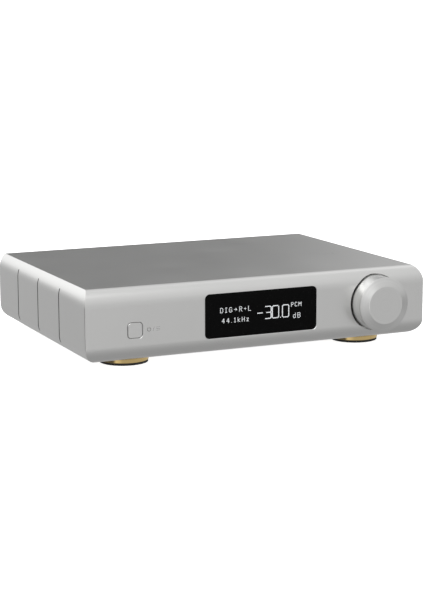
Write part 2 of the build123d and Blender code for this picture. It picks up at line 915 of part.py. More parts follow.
# Toroidal power transformer, clamped to the base by a washer and a bolt
with BuildPart() as power_transformer:
    with BuildSketch(Plane.XY.offset(floor_z)):
        with Locations((power_board_x, toroid_y)):
            Circle(toroid_diameter / 2)
            Circle(toroid_hole / 2, mode=Mode.SUBTRACT)
    extrude(amount=toroid_height)
    rims = power_transformer.edges().filter_by(GeomType.CIRCLE).filter_by(
        lambda edge: edge.radius > toroid_hole
    )
    fillet(rims, radius=toroid_edge)
power_transformer.part.label = "power_transformer"
export_step(power_transformer.part, "parts/power_transformer.step")

toroid_top = floor_z + toroid_height
with BuildPart() as transformer_washer:
    with BuildSketch(Plane.XY.offset(toroid_top)):
        with Locations((power_board_x, toroid_y)):
            Circle(washer_diameter / 2)
            Circle(bolt_diameter / 2 + screw_fit, mode=Mode.SUBTRACT)
    extrude(amount=washer_thickness)
transformer_washer.part.label = "transformer_washer"
export_step(transformer_washer.part, "parts/transformer_washer.step")

with BuildPart() as transformer_bolt:
    with BuildSketch(Plane.XY.offset(base_z)):
        with Locations((power_board_x, toroid_y)):
            Circle(bolt_diameter / 2)
    extrude(amount=toroid_top + washer_thickness - base_z)
    with BuildSketch(Plane.XY.offset(toroid_top + washer_thickness)):
        with Locations((power_board_x, toroid_y)):
            RegularPolygon(bolt_head_diameter / 2, 6)
    extrude(amount=bolt_head_height)
transformer_bolt.part.label = "transformer_bolt"
export_step(transformer_bolt.part, "parts/transformer_bolt.step")


# Feet: turned cups with a rubber pad and one screw each
foot_body_height = foot_height - (pad_thickness - pad_seat)
foot_bottom = foot_height - foot_body_height
foot_radius = foot_diameter / 2
pad_radius = foot_radius - foot_taper - pad_rim


def make_foot(x, y):
    with BuildPart() as foot:
        with Locations((x, y, foot_bottom + foot_body_height / 2)):
            Cone(foot_radius - foot_taper, foot_radius, foot_body_height)
        chamfer(foot.edges().filter_by(GeomType.CIRCLE), length=foot_edge)
        with Locations((x, y, foot_bottom + pad_seat / 2)):
            Cylinder(pad_radius + seam, pad_seat, mode=Mode.SUBTRACT)
        well_height = foot_body_height - foot_screw_web
        with Locations((x, y, foot_bottom + well_height / 2)):
            Cylinder(foot_screw_well / 2, well_height, mode=Mode.SUBTRACT)
        with Locations((x, y, foot_height - foot_screw_web / 2)):
            Cylinder(m4 / 2 + screw_fit, foot_screw_web, mode=Mode.SUBTRACT)
    return foot


def make_pad(x, y):
    with BuildPart() as pad:
        with BuildSketch():
            with Locations((x, y)):
                Circle(pad_radius)
                Circle(foot_screw_well / 2, mode=Mode.SUBTRACT)
        extrude(amount=pad_thickness)
    return pad


for row, y in foot_y_places.items():
    for hand, x in foot_x_places.items():
        foot = make_foot(x, y)
        foot.part.label = f"foot_{row}_{hand}"
        export_step(foot.part, f"parts/foot_{row}_{hand}.step")
        pad = make_pad(x, y)
        pad.part.label = f"foot_pad_{row}_{hand}"
        export_step(pad.part, f"parts/foot_pad_{row}_{hand}.step")

foot_head_z = foot_height - foot_screw_web
with BuildPart() as foot_screws:
    with BuildSketch(Plane.XY.offset(foot_head_z)):
        with Locations(*foot_places):
            Circle(foot_head_diameter / 2)
    extrude(amount=-head_height)
    with BuildSketch(Plane.XY.offset(foot_head_z)):
        with Locations(*foot_places):
            Circle(m4 / 2)
    extrude(amount=foot_screw_web + foot_screw_bite)
foot_screws.part.label = "foot_screws"
export_step(foot_screws.part, "parts/foot_screws.step")


# Case screws
shelf_under = ceiling_z - shelf_thickness
with BuildPart() as cover_screws:
    with BuildSketch(Plane.XY.offset(shelf_under)):
        with Locations(*cover_screw_places):
            Circle(head_diameter / 2)
    extrude(amount=-head_height)
    with BuildSketch(Plane.XY.offset(shelf_under)):
        with Locations(*cover_screw_places):
            Circle(m3 / 2)
    extrude(amount=shelf_thickness + cover_hole_depth - seam)
cover_screws.part.label = "cover_screws"
export_step(cover_screws.part, "parts/cover_screws.step")

with BuildPart() as base_screws:
    with Locations(*[(x, y, base_z + countersink_depth / 2) for x, y in base_screw_places]):
        Cone(head_diameter / 2, m3 / 2, countersink_depth)
    with Locations(*[(x, y, base_z + screw_bite / 2) for x, y in base_screw_places]):
        Cylinder(m3 / 2, screw_bite)
base_screws.part.label = "base_screws"
export_step(base_screws.part, "parts/base_screws.step")

with BuildPart() as rear_screws:
    for places, seat in ((rear_screw_places, rear_y), (flange_screw_places, rear_y + flange_proud)):
        with BuildSketch(rear_plane(seat)):
            with Locations(*[(-x, z) for x, z in places]):
                Circle(head_diameter / 2)
        extrude(amount=head_height)
        with BuildSketch(rear_plane(seat + head_height)):
            with Locations(*[(-x, z) for x, z in places]):
                RegularPolygon(hex_key / 2, 6, major_radius=False)
        extrude(amount=-head_height / 2, mode=Mode.SUBTRACT)
        with BuildSketch(rear_plane(seat)):
            with Locations(*[(-x, z) for x, z in places]):
                Circle(m3 / 2)
        extrude(amount=-(screw_bite + rear_thickness - head_height))
rear_screws.part.label = "rear_screws"
export_step(rear_screws.part, "parts/rear_screws.step")


# Phono sockets, each a turned barrel in an insulating bush
for name, x in phono_places.items():
    with BuildPart() as phono:
        with BuildSketch(turning_plane(x, socket_z)):
            with BuildLine():
                Polyline(
                    (rear_inside - phono_inside, 0),
                    (rear_inside - phono_inside, phono_thread / 2),
                    (rear_inside - phono_nut_thickness, phono_thread / 2),
                    (rear_inside - phono_nut_thickness, phono_nut_diameter / 2),
                    (rear_inside, phono_nut_diameter / 2),
                    (rear_inside, phono_thread / 2),
                    (rear_y + bush_proud, phono_thread / 2),
                    (rear_y + bush_proud, phono_diameter / 2),
                    (rear_y + phono_proud, phono_diameter / 2),
                    (rear_y + phono_proud, phono_bore / 2),
                    (rear_y + phono_bottom, phono_bore / 2),
                    (rear_y + phono_bottom, 0),
                    close=True,
                )
            make_face()
        revolve(axis=turning_axis(x, socket_z))
    phono.part.label = name
    export_step(phono.part, f"parts/{name}.step")

with BuildPart() as phono_bushes:
    for x in phono_places.values():
        with BuildSketch(turning_plane(x, socket_z)):
            with BuildLine():
                Polyline(
                    (rear_inside, phono_thread / 2 + shaft_fit),
                    (rear_inside, bush_spigot / 2),
                    (rear_y, bush_spigot / 2),
                    (rear_y, bush_diameter / 2),
                    (rear_y + bush_proud, bush_diameter / 2),
                    (rear_y + bush_proud, phono_thread / 2 + shaft_fit),
                    close=True,
                )
            make_face()
        revolve(axis=turning_axis(x, socket_z))
phono_bushes.part.label = "phono_bushes"
export_step(phono_bushes.part, "parts/phono_bushes.step")


# Three-pin balanced sockets
for name, x in xlr_places.items():
    with BuildPart() as xlr:
        with BuildSketch(rear_plane(rear_y, x, socket_z)):
            RectangleRounded(xlr_flange_width, xlr_flange_height, xlr_flange_radius)
            with Locations(
                (-flange_screw_spread_x / 2, flange_screw_spread_z / 2),
                (flange_screw_spread_x / 2, -flange_screw_spread_z / 2),
            ):
                Circle(m3 / 2 + screw_fit, mode=Mode.SUBTRACT)
        extrude(amount=flange_proud)
        with BuildSketch(rear_plane(rear_y, x, socket_z)):
            Circle(xlr_body / 2)
        extrude(amount=-xlr_inside)
        with BuildSketch(rear_plane(rear_y + flange_proud, x, socket_z)):
            Circle(xlr_bore / 2)
        extrude(amount=-xlr_cavity, mode=Mode.SUBTRACT)
    xlr.part.label = name
    export_step(xlr.part, f"parts/{name}.step")

xlr_floor = rear_y + flange_proud - xlr_cavity
with BuildPart() as xlr_pins:
    for x in xlr_places.values():
        with BuildSketch(rear_plane(xlr_floor, x, socket_z)):
            with PolarLocations(xlr_pin_circle, 3, start_angle=-90):
                Circle(xlr_pin_diameter / 2)
        extrude(amount=xlr_pin_length)
xlr_pins.part.label = "xlr_pins"
export_step(xlr_pins.part, "parts/xlr_pins.step")


# Mains inlet with three blades; two of its corners are bevelled
inlet_back = rear_y + flange_proud - inlet_cavity - inlet_floor
with BuildPart() as mains_inlet:
    with BuildSketch(rear_plane(rear_y, inlet_x, socket_z)):
        RectangleRounded(inlet_width + 2 * inlet_lip, inlet_height + 2 * inlet_lip, inlet_lip)
    extrude(amount=flange_proud)
    with BuildSketch(rear_plane(rear_y, inlet_x, socket_z)):
        Rectangle(inlet_width, inlet_height)
    extrude(amount=-(rear_y - inlet_back))
    with BuildSketch(rear_plane(rear_y + flange_proud, inlet_x, socket_z)) as inlet_opening:
        Rectangle(inlet_width - 2 * inlet_wall, inlet_height - 2 * inlet_wall)
        chamfer(inlet_opening.vertices().group_by(Axis.Y)[-1], length=inlet_bevel)
    extrude(amount=-inlet_cavity, mode=Mode.SUBTRACT)
mains_inlet.part.label = "mains_inlet"
export_step(mains_inlet.part, "parts/mains_inlet.step")

with BuildPart() as inlet_pins:
    with BuildSketch(rear_plane(inlet_back + inlet_floor, inlet_x, socket_z)):
        with Locations(
            (-blade_spread, -blade_rise), (blade_spread, -blade_rise), (0, blade_rise)
        ):
            Rectangle(blade_width, blade_height)
    extrude(amount=blade_length)
inlet_pins.part.label = "inlet_pins"
export_step(inlet_pins.part, "parts/inlet_pins.step")


# Mains switch: a rocker on two trunnions, built pressed at its upper end
rocker_opening_width = rocker_width + 2 * rocker_gap
rocker_opening_height = rocker_height + 4 * rocker_gap
housing_width = rocker_width + 2 * (rocker_gap + housing_wall)
housing_height = rocker_height + 2 * (rocker_gap + housing_wall)
rocker_axis_y = rear_y + flange_proud - rocker_axis_inset
with BuildPart() as switch_housing:
    with BuildSketch(rear_plane(rear_y, switch_x, socket_z)):
        RectangleRounded(
            rocker_opening_width + 2 * (housing_wall + housing_lip),
            rocker_opening_height + 2 * (housing_wall + housing_lip),
            housing_lip,
        )
    extrude(amount=flange_proud)
    with BuildSketch(rear_plane(rear_y, switch_x, socket_z)):
        Rectangle(housing_width, housing_height)
    extrude(amount=-housing_depth)
    with BuildSketch(rear_plane(rear_y + flange_proud, switch_x, socket_z)):
        Rectangle(rocker_opening_width, rocker_opening_height)
    extrude(amount=-housing_cavity, mode=Mode.SUBTRACT)
    with BuildSketch(Plane.YZ.offset(switch_x)):
        with Locations((rocker_axis_y, socket_z)):
            Circle(trunnion_diameter / 2 + shaft_fit)
    extrude(amount=rocker_opening_width / 2 + housing_wall / 2, both=True, mode=Mode.SUBTRACT)
switch_housing.part.label = "switch_housing"
export_step(switch_housing.part, "parts/switch_housing.step")

with BuildPart() as power_rocker:
    tilted = Vector(0, 1, 0).rotate(Axis.X, rocker_tilt)
    rocker_plane = Plane(origin=(switch_x, rocker_axis_y, socket_z), x_dir=tilted, z_dir=(1, 0, 0))
    with BuildSketch(rocker_plane):
        with BuildLine():
            Polyline(
                (-rocker_depth, -rocker_height / 4),
                (-rocker_axis_inset, -rocker_height / 2),
                (rocker_proud, -rocker_height / 2),
                (rocker_waist, 0),
                (rocker_proud, rocker_height / 2),
                (-rocker_axis_inset, rocker_height / 2),
                (-rocker_depth, rocker_height / 4),
                close=True,
            )
        make_face()
    extrude(amount=rocker_width / 2, both=True)
    with BuildSketch(rocker_plane):
        Circle(trunnion_diameter / 2)
    extrude(amount=rocker_opening_width / 2 + housing_wall / 2 - shaft_fit, both=True)
power_rocker.part.label = "power_rocker"
export_step(power_rocker.part, "parts/power_rocker.step")


# Digital socket on the main board, square with two bevelled corners
usb_z = board_top + usb_height / 2
with BuildPart() as usb_socket:
    with BuildSketch(rear_plane(rear_y + usb_proud, usb_x, usb_z)):
        Rectangle(usb_width, usb_height)
    extrude(amount=-usb_depth)
    with BuildSketch(rear_plane(rear_y + usb_proud, usb_x, usb_z)) as usb_opening:
        Rectangle(usb_opening_width, usb_opening_height)
        chamfer(usb_opening.vertices().group_by(Axis.Y)[-1], length=usb_bevel)
        Rectangle(tongue_width, tongue_height, mode=Mode.SUBTRACT)
    extrude(amount=-usb_opening_depth, mode=Mode.SUBTRACT)
usb_socket.part.label = "usb_socket"
export_step(usb_socket.part, "parts/usb_socket.step")


# Optical socket with a sprung door that a plug pushes inward
optical_z = board_top + optical_height / 2
door_y = rear_y + optical_proud - door_setback
door_top = optical_z + door_height / 2
with BuildPart() as optical_input:
    with BuildSketch(rear_plane(rear_y + optical_proud, optical_x, optical_z)):
        Rectangle(optical_width, optical_height)
    extrude(amount=-optical_depth)
    with BuildSketch(rear_plane(rear_y + optical_proud, optical_x, optical_z)):
        Rectangle(door_width + 2 * door_gap, door_height + 2 * door_gap)
    extrude(amount=-optical_cavity_depth, mode=Mode.SUBTRACT)
    with BuildSketch(Plane.YZ.offset(optical_x)):
        with Locations((door_y, door_top - door_pin / 2)):
            Circle(door_pin / 2 + shaft_fit)
    extrude(amount=door_width / 2 + door_pin_reach + door_gap, both=True, mode=Mode.SUBTRACT)
optical_input.part.label = "optical_input"
export_step(optical_input.part, "parts/optical_input.step")

with BuildPart() as optical_door:
    box_between(
        (optical_x - door_width / 2, door_y - door_thickness / 2, optical_z - door_height / 2),
        (optical_x + door_width / 2, door_y + door_thickness / 2, door_top - door_pin / 2),
    )
    with BuildSketch(Plane.YZ.offset(optical_x)):
        with Locations((door_y, door_top - door_pin / 2)):
            Circle(door_pin / 2)
    extrude(amount=door_width / 2 + door_pin_reach, both=True)
optical_door.part.label = "optical_door"
export_step(optical_door.part, "parts/optical_door.step")
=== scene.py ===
import json
from math import cos, pi, radians, sin
import bmesh
import bpy
import numpy as np
from mathutils import Matrix, Vector

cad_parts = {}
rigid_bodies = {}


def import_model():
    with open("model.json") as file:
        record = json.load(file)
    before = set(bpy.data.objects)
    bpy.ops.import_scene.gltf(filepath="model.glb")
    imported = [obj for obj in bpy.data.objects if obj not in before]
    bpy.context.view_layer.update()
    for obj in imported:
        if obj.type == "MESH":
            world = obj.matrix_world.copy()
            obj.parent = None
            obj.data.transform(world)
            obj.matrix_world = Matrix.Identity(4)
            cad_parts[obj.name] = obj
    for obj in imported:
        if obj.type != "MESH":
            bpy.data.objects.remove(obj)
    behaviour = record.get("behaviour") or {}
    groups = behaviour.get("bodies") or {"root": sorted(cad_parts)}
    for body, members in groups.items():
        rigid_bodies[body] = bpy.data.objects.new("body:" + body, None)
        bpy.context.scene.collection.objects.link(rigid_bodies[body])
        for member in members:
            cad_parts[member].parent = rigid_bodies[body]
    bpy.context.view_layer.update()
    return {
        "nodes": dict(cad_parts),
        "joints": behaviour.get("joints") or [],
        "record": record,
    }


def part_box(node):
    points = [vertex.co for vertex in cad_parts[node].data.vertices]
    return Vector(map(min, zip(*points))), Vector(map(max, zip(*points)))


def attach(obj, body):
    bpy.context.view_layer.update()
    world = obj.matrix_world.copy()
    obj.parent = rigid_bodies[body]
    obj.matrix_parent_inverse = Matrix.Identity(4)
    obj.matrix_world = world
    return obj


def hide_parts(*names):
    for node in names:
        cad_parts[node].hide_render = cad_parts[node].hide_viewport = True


for leftover in list(bpy.data.objects):
    bpy.data.objects.remove(leftover)
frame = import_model()
nodes = frame["nodes"]
mm = 0.001
print("frame loaded:", len(nodes), "nodes")


# a Wire is a shader socket, and an operator on it adds a Math node

class Wire:
    def __init__(self, tree, socket):
        self.tree = tree
        self.socket = socket

    def __getitem__(self, output):
        return Wire(self.tree, self.socket.node.outputs[output])

    def math(self, operation, *values):
        inputs = dict(enumerate(values))
        return self.tree.node("ShaderNodeMath", {"operation": operation}, inputs)

    def __add__(self, other): return self.math("ADD", self, other)
    def __radd__(self, other): return self.math("ADD", other, self)
    def __sub__(self, other): return self.math("SUBTRACT", self, other)
    def __rsub__(self, other): return self.math("SUBTRACT", other, self)
    def __mul__(self, other): return self.math("MULTIPLY", self, other)
    def __rmul__(self, other): return self.math("MULTIPLY", other, self)
    def __truediv__(self, other): return self.math("DIVIDE", self, other)
    def __pow__(self, other): return self.math("POWER", self, other)
    def __abs__(self): return self.math("ABSOLUTE", self)
    def sine(self): return self.math("SINE", self)
    def root(self): return self.math("SQRT", self)
    def floor(self): return self.math("FLOOR", self)
    def angle(self, other): return self.math("ARCTAN2", self, other)
    def over(self, other): return self.math("GREATER_THAN", self, other)
    def most(self, other): return self.math("MINIMUM", self, other)


class Tree:
    def __init__(self, owner):
        owner.use_nodes = True
        self.nodes = owner.node_tree.nodes
        self.links = owner.node_tree.links
        self.nodes.clear()

    def node(self, kind, settings=None, inputs=None):
        # settings first, such as an operation, then values or links
        made = self.nodes.new(kind)
        for key, value in (settings or {}).items():
            setattr(made, key, value)
        for key, value in (inputs or {}).items():
            if isinstance(value, Wire):
                self.links.new(value.socket, made.inputs[key])
            else:
                made.inputs[key].default_value = value
        return Wire(self, made.outputs[0]) if made.outputs else made

    def step(self, value, low, high, first=0.0, last=1.0):
        # smooth step from first to last as value goes from low to high
        inputs = {
            "Value": value,
            "From Min": low,
            "From Max": high,
            "To Min": first,
            "To Max": last,
        }
        return self.node("ShaderNodeMapRange", {"interpolation_type": "SMOOTHSTEP"}, inputs)

    def blend(self, factor, first, second):
        # colour that goes from first to second
        inputs = {"Factor": factor, 6: first, 7: second}
        mixed = self.node("ShaderNodeMix", {"data_type": "RGBA"}, inputs)
        return mixed[2]

    def noise(self, place, scale, detail=2.0, roughness=0.5):
        inputs = {"Vector": place, "Scale": scale, "Detail": detail, "Roughness": roughness}
        return self.node("ShaderNodeTexNoise", {}, inputs)

    def split(self, place):
        parts = self.node("ShaderNodeSeparateXYZ", {}, {0: place})
        return parts["X"], parts["Y"], parts["Z"]


class Finish(Tree):
    # one material: a Principled surface whose constants are set on its own sockets
    def __init__(self, name, **constants):
        self.material = bpy.data.materials.new(name)
        super().__init__(self.material)
        self.surface = self.nodes.new("ShaderNodeBsdfPrincipled")
        output = self.nodes.new("ShaderNodeOutputMaterial")
        self.links.new(self.surface.outputs[0], output.inputs[0])
        self.place = self.node("ShaderNodeTexCoord")["Object"]
        self.set(**constants)

    def set(self, **values):
        for key, value in values.items():
            name = key.replace("_", " ").title().replace("Ior", "IOR")
            if isinstance(value, Wire):
                self.links.new(value.socket, self.surface.inputs[name])
            else:
                self.surface.inputs[name].default_value = value

    def bump(self, height, strength, distance):
        inputs = {"Strength": strength, "Distance": distance, "Height": height}
        self.set(normal=self.node("ShaderNodeBump", {}, inputs))


def wear(node, finish):
    # the CAD node keeps its mesh and takes this finish
    made = nodes[node]
    made.data.materials.clear()
    made.data.materials.append(finish.material)


# camera, from the front and left, a little above

cameraFit = {
    "azimuth": 24.486,
    "elevation": 10.424,
    "roll": -0.146,
    "distance": 1.4526,
    "aim": (0.0037, -0.00625, 0.02944),
    "lens": 98.72,
    "shift": (-0.0043, 0.0035),
}


def makeCamera(fit):
    a, e = radians(fit["azimuth"]), radians(fit["elevation"])
    forward = Vector((sin(a) * cos(e), cos(a) * cos(e), -sin(e)))
    camera = bpy.data.objects.new("camera", bpy.data.cameras.new("camera"))
    bpy.context.scene.collection.objects.link(camera)
    camera.location = Vector(fit["aim"]) - forward * fit["distance"]
    upright = forward.to_track_quat("-Z", "Y").to_matrix()
    camera.rotation_euler = (upright @ Matrix.Rotation(radians(fit["roll"]), 3, "Z")).to_euler()
    camera.data.lens = fit["lens"]
    camera.data.shift_x, camera.data.shift_y = fit["shift"]
    camera.data.clip_start = 10 * mm
    bpy.context.scene.camera = camera


makeCamera(cameraFit)
print("camera placed")


# studio: pale floor that curves up far away, soft surroundings, one softbox

studio = {
    "flatRadius": 5.0,
    "rimRadius": 3.0,
    "floorColour": (0.92, 0.92, 0.92),
    "floorGlow": 0.80,
    "levelPart": (0.001, 0.5, 1.5, 3.0),  # rings of the flat part, by radius
    "bendSteps": 24,
    "turnSteps": 96,
    "horizon": 0.595,
    "overhead": 0.74,
    "below": 0.355,
    # azimuth 0 is in front and 90 to the right; then elevation, inner and outer angle, level
    "patches": {
        "behind": (150, 0, 20, 45, 0.52),
        "behindLeft": (-150, 34, 8, 47, 1.3),
        "behindRight": (128, 40, 4, 18, 1.0),
        "behindLow": (167, 8, 12, 20, 0.13),
        "sideLow": (-155, -18, 10, 27, 0.50),
        "leftWall": (-70, 0, 20, 55, 0.78),
        "frontLeft": (-8, 20, 5, 20, 1.05),
        "upperLeft": (-60, 48, 15, 45, 1.02),
        "leftFlag": (-102, -14, 28, 44, 0.10),
        "frontStrip": (3, -11, 3, 9, 1.8),
        "rightFlag": (66, -10, 5, 14, 0.12),
    },
    "boxes": {
        "softboxAbove": {"place": (-0.5, -0.4, 1.3), "size": 1.2, "watts": 5},
    },
}


def gridMesh(name, points, wrapU=False, wrapV=False):
    # quads over a grid of points, u down the rows and v along them
    rows, columns = points.shape[:2]
    index = np.arange(rows * columns).reshape(rows, columns)
    if wrapU:
        index = np.vstack([index, index[:1]])
    if wrapV:
        index = np.hstack([index, index[:, :1]])
    quads = np.stack([index[:-1, :-1], index[1:, :-1], index[1:, 1:], index[:-1, 1:]], -1)
    mesh = bpy.data.meshes.new(name)
    mesh.from_pydata(points.reshape(-1, 3).tolist(), [], quads.reshape(-1, 4).tolist())
    mesh.update()
    return mesh


def makeFloor(settings):
    # profile turned about Z: level out to the flat radius, then a quarter circle upwards
    flat, rim, level = settings["flatRadius"], settings["rimRadius"], settings["levelPart"]
    bend = np.linspace(0, pi / 2, settings["bendSteps"])
    radius = np.concatenate([level, flat + rim * np.sin(bend)])
    height = np.concatenate([np.zeros(len(level)), rim * (1 - np.cos(bend))])
    turn = np.linspace(0, 2 * pi, settings["turnSteps"], endpoint=False)
    points = np.stack(
        [
            radius[:, None] * np.cos(turn),
            radius[:, None] * np.sin(turn),
            height[:, None] + 0 * turn,
        ],
        -1,
    )
    mesh = gridMesh("floor", points, wrapV=True)
    mesh.shade_smooth()
    floor = bpy.data.objects.new("floor", mesh)
    bpy.context.scene.collection.objects.link(floor)
    paper = Finish("floorPaper", roughness=0.9)
    grain = paper.noise(paper.place, 40.0)
    pale = settings["floorColour"]
    lower = tuple(c * 0.995 for c in pale)
    paper.set(base_color=paper.blend(grain, pale + (1,), lower + (1,)))
    paper.set(emission_color=(1, 1, 1, 1), emission_strength=settings["floorGlow"])
    mesh.materials.append(paper.material)
    floor.visible_glossy = False


def makeSurroundings(settings):
    # brightness by direction: a blend by height, then round patches laid over it one by one
    world = bpy.data.worlds.new("studio")
    bpy.context.scene.world = world
    tree = Tree(world)
    x, y, z = tree.split(tree.node("ShaderNodeTexCoord")["Generated"])
    level = tree.step(z, 0.1, 0.8, settings["horizon"], settings["overhead"])
    level = level * tree.step(z, -1.0, 0.1, settings["below"] / settings["horizon"], 1.0)
    for azimuth, elevation, inner, outer, target in settings["patches"].values():
        a, e = radians(azimuth), radians(elevation)
        toward = x * (sin(a) * cos(e)) + y * (-cos(a) * cos(e)) + z * sin(e)
        patch = tree.step(toward, cos(radians(outer)), cos(radians(inner)))
        level = level + patch * (target - level)
    light = {"Color": (1, 1, 1, 1), "Strength": level}
    background = tree.node("ShaderNodeBackground", {}, light)
    tree.node("ShaderNodeOutputWorld", {}, {"Surface": background})


def makeBoxes(boxes, target=(0, 0, 30 * mm)):
    for name, box in boxes.items():
        light = bpy.data.lights.new(name, "AREA")
        light.shape = "SQUARE"
        light.size = box["size"]
        light.energy = box["watts"]
        lamp = bpy.data.objects.new(name, light)
        bpy.context.scene.collection.objects.link(lamp)
        lamp.location = box["place"]
        aim = Vector(target) - lamp.location
        lamp.rotation_euler = aim.to_track_quat("-Z", "Y").to_euler()


bpy.context.scene.view_settings.view_transform = "Standard"
makeFloor(studio)
makeSurroundings(studio)
makeBoxes(studio["boxes"])
print("studio lit")


# finishes: noise scales are per metre, bump depths in metres

def shades(colour, darker):
    # a colour's darker and plain forms, with their alpha
    return tuple(c * darker for c in colour) + (1,), tuple(colour) + (1,)


satin = {"pits": 3200.0, "clouds": 22.0, "darker": 0.96, "depth": 0.03 * mm}


def satinAluminium(name, colour, roughness):
    # bead-blasted and anodised: fine pits, faint cloudiness in colour and gloss
    finish = Finish(name, metallic=1.0)
    pits = finish.noise(finish.place, satin["pits"], 2.0, 0.6)
    cloud = finish.noise(finish.place, satin["clouds"], 3.0)
    finish.colour = finish.blend(cloud, *shades(colour, satin["darker"]))
    finish.set(base_color=finish.colour)
    finish.set(roughness=roughness + 0.05 * cloud + 0.06 * pits)
    finish.bump(pits, 0.25, satin["depth"])
    return finish


moulded = {"clouds": 60.0, "darker": 0.85, "depth": 0.03 * mm}


def plainMoulding(name, colour, roughness, grain=1800.0, metallic=0.0):
    # moulded or plated skin: fine grain in the bump, slight change of shade
    finish = Finish(name, metallic=metallic)
    spark = finish.noise(finish.place, grain, 2.0)
    cloud = finish.noise(finish.place, moulded["clouds"], 2.0)
    finish.set(base_color=finish.blend(cloud, *shades(colour, moulded["darker"])))
    finish.set(roughness=roughness + 0.08 * spark)
    finish.bump(spark, 0.2, moulded["depth"])
    return finish


lathe = {"fine": 5200.0, "broad": 700.0, "darker": 0.90}


def latheMarks(finish, radius, along, colour, roughness, depth):
    # marks that depend only on the radius and the place along the axis, so they run round
    place = finish.node("ShaderNodeCombineXYZ", {}, {0: radius, 1: along})
    fine = finish.noise(place, lathe["fine"], 2.0, 0.7)
    broad = finish.noise(place, lathe["broad"], 2.0)
    finish.set(base_color=finish.blend(broad, *shades(colour, lathe["darker"])))
    finish.set(roughness=roughness + 0.10 * fine + 0.05 * broad)
    finish.bump(fine, 0.35, depth)


def turnedFinish(name, centre, colour, roughness):
    # lathe-turned about an axis along Y through centre
    finish = Finish(name, metallic=1.0)
    x, y, z = finish.split(finish.place)
    radius = ((x - centre[0]) ** 2 + (z - centre[1]) ** 2).root()
    latheMarks(finish, radius, y, colour, roughness, 0.02 * mm)
    return finish


def footFinish(name, reach, colour, roughness):
    # turned about an upright axis; the four feet lie symmetrically, so one corner serves all
    finish = Finish(name, metallic=1.0)
    x, y, z = finish.split(finish.place)
    across = abs(x) - reach[0]
    back = abs(y - reach[1]) - reach[2]
    latheMarks(finish, (across ** 2 + back ** 2).root(), z, colour, roughness, 0.01 * mm)
    return finish


tape = {"turns": 30.0, "climb": 40.0, "darker": 0.7, "depth": 0.2 * mm}


def tapeWound(name, colour):
    # tape laid round a ring: turns seen as steps in the angle round the middle
    finish = Finish(name)
    low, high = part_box("power_transformer")
    x, y, z = finish.split(finish.place)
    angle = (y - (low[1] + high[1]) / 2).angle(x - (low[0] + high[0]) / 2)
    turns = (angle * tape["turns"] + z * tape["climb"]).sine()
    finish.set(base_color=finish.blend(turns * 0.5 + 0.5, *shades(colour, tape["darker"])))
    finish.set(roughness=0.35 + 0.1 * turns)
    finish.bump(turns, 0.5, tape["depth"])
    return finish


tracks = {"lanes": 240.0, "stretch": 3.0, "edge": (0.53, 0.55), "depth": 0.04 * mm}


def boardFinish(name, mask, copper):
    # solder mask with tracks underneath: lighter where a stretched noise passes a level
    finish = Finish(name)
    x, y, z = finish.split(finish.place)
    stretched = {0: x * tracks["stretch"], 1: y, 2: z}
    place = finish.node("ShaderNodeCombineXYZ", {}, stretched)
    lanes = finish.noise(place, tracks["lanes"], 1.0)
    track = finish.step(lanes, *tracks["edge"])
    finish.set(base_color=finish.blend(track, mask, copper), roughness=0.30 + 0.1 * lanes)
    finish.bump(track, 0.4, tracks["depth"])
    return finish


grooves = {
    "first": 62.1 * mm,
    "pitch": 54.2 * mm,
    "count": 3,
    "width": 1.6 * mm,
    "depth": 1.2 * mm,
    "margin": 0.03 * mm,
    # painted shade: near-black colour laid on the groove insides
    "colour": (0.07, 0.07, 0.07, 1),
}


def grooveShadedSide(name, colour, roughness, cuts):
    # the case's satin, with painted shade in the milled grooves: a near-black colour inside one of
    # the strips in y and no deeper than the cut
    finish = satinAluminium(name, colour, roughness)
    x, y, z = finish.split(finish.place)
    front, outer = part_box("front_panel")[0][1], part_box("right_side")[1][0]
    lane = y - front - cuts["first"]
    strip = lane - cuts["pitch"] * (lane / cuts["pitch"] + 0.5).floor()
    grooveShadeMask = (cuts["width"] / 2 + cuts["margin"] - abs(strip)).over(0.0)
    grooveShadeMask = grooveShadeMask * (lane + cuts["pitch"] / 2).over(0.0)
    grooveShadeMask = grooveShadeMask * (cuts["pitch"] * (cuts["count"] - 0.5) - lane).over(0.0)
    shallow = (abs(x) - outer + cuts["depth"] + cuts["margin"]).over(0.0)
    # painted shade: the groove floor and walls take the near-black colour
    finish.set(base_color=finish.blend(grooveShadeMask * shallow, finish.colour, cuts["colour"]))
    return finish


